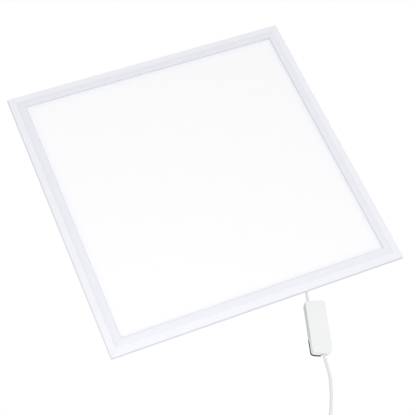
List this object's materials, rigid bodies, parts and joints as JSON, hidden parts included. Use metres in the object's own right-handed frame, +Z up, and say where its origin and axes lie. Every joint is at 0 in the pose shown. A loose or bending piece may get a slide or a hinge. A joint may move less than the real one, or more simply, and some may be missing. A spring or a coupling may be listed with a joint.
{
  "type": "led panel light",
  "caption": "Square edge-lit LED panel light with a stepped white frame, opal diffuser and a small in-line driver box on a short lead, with a mains cord.",
  "frame": {"origin": "centre of the panel's back plane, which is the plane of the frame's rear rim and the centre of the suspension nuts", "axes": "+X along the lower edge to the right as seen from the lit side, +Y out of the back, +Z up the panel; the lit face looks towards -Y"},
  "size_m": [0.595, 0.0256, 0.8745],
  "materials": {
    "white_frame": "satin white powder coat on aluminium extrusion",
    "white_steel": "matt white coated sheet steel",
    "bare_aluminium": "mill finish",
    "zinc_screws": "zinc plated",
    "opal_diffuser": "opal acrylic, evenly lit from behind",
    "clear_acrylic": "clear acrylic with polished edges",
    "grey_silicone": "soft translucent silicone",
    "white_film": "white reflector film",
    "white_foam": "fine cell polyethylene foam",
    "white_board": "white solder mask",
    "led_phosphor": "yellow phosphor in white housings",
    "red_insulation": "PVC wire insulation",
    "brown_insulation": "PVC wire insulation",
    "blue_insulation": "PVC wire insulation",
    "black_rubber": "smooth moulded rubber",
    "grey_rubber": "smooth moulded rubber",
    "white_plastic": "fine spark texture on moulded polycarbonate",
    "white_cable": "smooth PVC sheath",
    "green_board": "green solder mask",
    "clear_film": "thin polyester film",
    "dark_ferrite": "sintered ferrite",
    "yellow_tape": "polyester tape over copper wire",
    "capacitor_sleeve": "heat-shrunk sleeve",
    "copper_winding": "enamelled copper wire",
    "black_moulding": "moulded epoxy",
    "clear_glass": "glass tube",
    "green_moulding": "moulded polyamide"
  },
  "bodies": {
    "panel": {"frame_rail_bottom": "white_frame", "frame_rail_top": "white_frame", "frame_rail_left": "white_frame", "frame_rail_right": "white_frame", "corner_keys": "bare_aluminium", "corner_screws": "zinc_screws", "diffuser_sheet": "opal_diffuser", "light_guide": "clear_acrylic", "guide_bumpers": "grey_silicone", "reflector_film": "white_film", "foam_pad": "white_foam", "led_board_left": "white_board", "led_board_right": "white_board", "led_chips": "led_phosphor", "board_wires": "red_insulation", "back_plate": "white_steel", "back_plate_screws": "zinc_screws", "suspension_nuts": "zinc_screws", "lead_grommet": "black_rubber", "lead_gland": "white_plastic", "gland_screws": "zinc_screws", "lead_root": "white_cable"},
    "lead": {"output_lead": "white_cable"},
    "driver": {"lead_boot": "grey_rubber", "lead_tail": "red_insulation", "driver_cover": "white_plastic", "driver_base": "white_plastic", "driver_screws": "zinc_screws", "driver_board": "green_board", "board_screws": "zinc_screws", "insulation_sheet": "clear_film", "transformer_core": "dark_ferrite", "transformer_winding": "yellow_tape", "capacitors": "capacitor_sleeve", "choke": "copper_winding", "rectifier": "black_moulding", "power_switch": "black_moulding", "heat_sink": "bare_aluminium", "fuse": "clear_glass", "mains_terminal": "green_moulding", "mains_terminal_screws": "zinc_screws", "output_terminal": "green_moulding", "output_terminal_screws": "zinc_screws", "cord_clamp": "white_plastic", "cord_clamp_screws": "zinc_screws", "cord_root": "white_cable", "mains_tails": "brown_insulation", "flap_pin": "zinc_screws"},
    "flap": {"terminal_flap": "white_plastic", "flap_pad": "black_rubber"},
    "cord": {"mains_cord": "white_cable", "cord_cores": "blue_insulation", "core_ferrules": "zinc_screws"}
  },
  "joints": [
    {"name": "lead_swing", "type": "hinge", "parent": "panel", "child": "lead", "pos_m": [0.10044, 0.00363, -0.27225], "axis": [0, 1, 0], "range_deg": [-40, 27], "stiffness_Nm_per_rad": 0.4},
    {"name": "lead_bend", "type": "hinge", "parent": "lead", "child": "driver", "pos_m": [0.08802, 0.00363, -0.31289], "axis": [0.9557, 0.0349, -0.2922], "range_deg": [-30, 60], "stiffness_Nm_per_rad": 0.4},
    {"name": "flap_hinge", "type": "hinge", "parent": "driver", "child": "flap", "pos_m": [0.07619, 0.00961, -0.40731], "axis": [-0.2924, 0, -0.9563], "range_deg": [0, 100], "stiffness_Nm_per_rad": 0.01},
    {"name": "cord_swing", "type": "hinge", "parent": "driver", "child": "cord", "pos_m": [0.06864, 0.00312, -0.42357], "axis": [-0.0334, 0.9994, 0.0102], "range_deg": [-40, 40], "stiffness_Nm_per_rad": 0.1}
  ]
}
